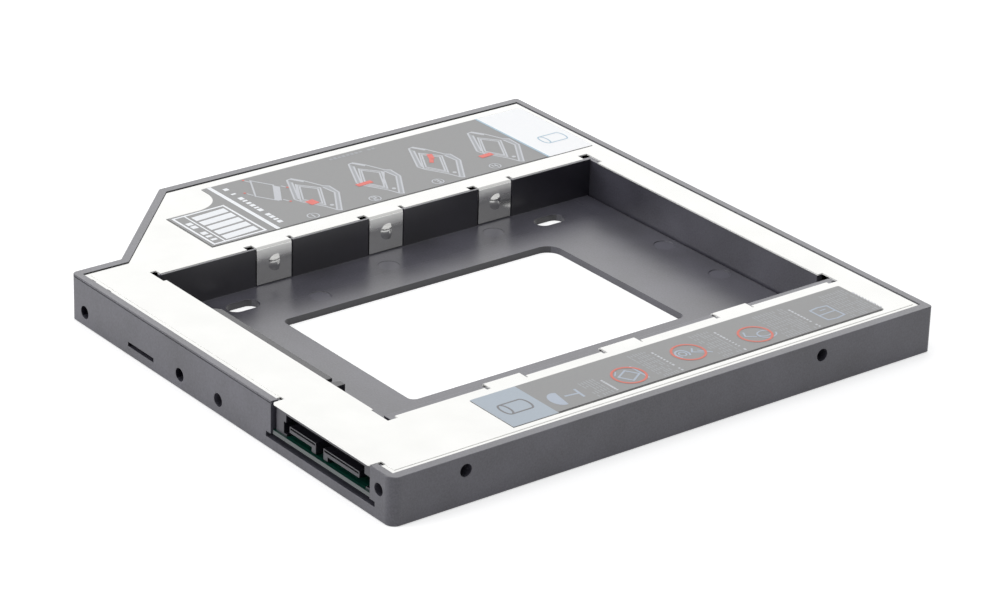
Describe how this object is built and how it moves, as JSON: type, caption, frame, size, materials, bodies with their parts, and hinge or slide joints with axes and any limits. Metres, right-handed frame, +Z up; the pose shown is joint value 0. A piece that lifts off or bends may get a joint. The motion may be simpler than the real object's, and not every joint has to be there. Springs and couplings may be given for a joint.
{
  "type": "optical bay drive caddy",
  "caption": "Flat notched tray with a folded steel cover round an open bay for a slim drive, with spring tabs, an inner socket and a keyed plug at its rear edge.",
  "frame": {"origin": "middle of the underside, on the plane that the tray rests on", "axes": "+X across the width, +Y from the plug end to the bezel end, +Z up through the steel cover"},
  "size_m": [0.128, 0.1262, 0.0095],
  "materials": {
    "black_abs": "black moulded ABS, fine satin texture",
    "cover_steel": "plain rolled steel sheet, satin",
    "board": "green solder resist",
    "screw_steel": "nickel-plated steel",
    "connector_plastic": "black moulded polyester",
    "contact_gold": "gold-plated spring bronze",
    "chip": "fired ceramic with tinned ends",
    "label_film": "grey printed polyester film"
  },
  "bodies": {
    "root": {"tray": "black_abs", "top_cover": "cover_steel", "circuit_board": "board", "board_screws": "screw_steel", "plug_housing": "connector_plastic", "plug_signal_contacts": "contact_gold", "plug_power_contacts": "contact_gold", "plug_board_locks": "screw_steel", "socket_housing": "connector_plastic", "socket_signal_contacts": "contact_gold", "socket_power_contacts": "contact_gold", "capacitors": "chip", "resistors": "chip", "installation_label": "label_film", "handling_label": "label_film"}
  },
  "joints": []
}
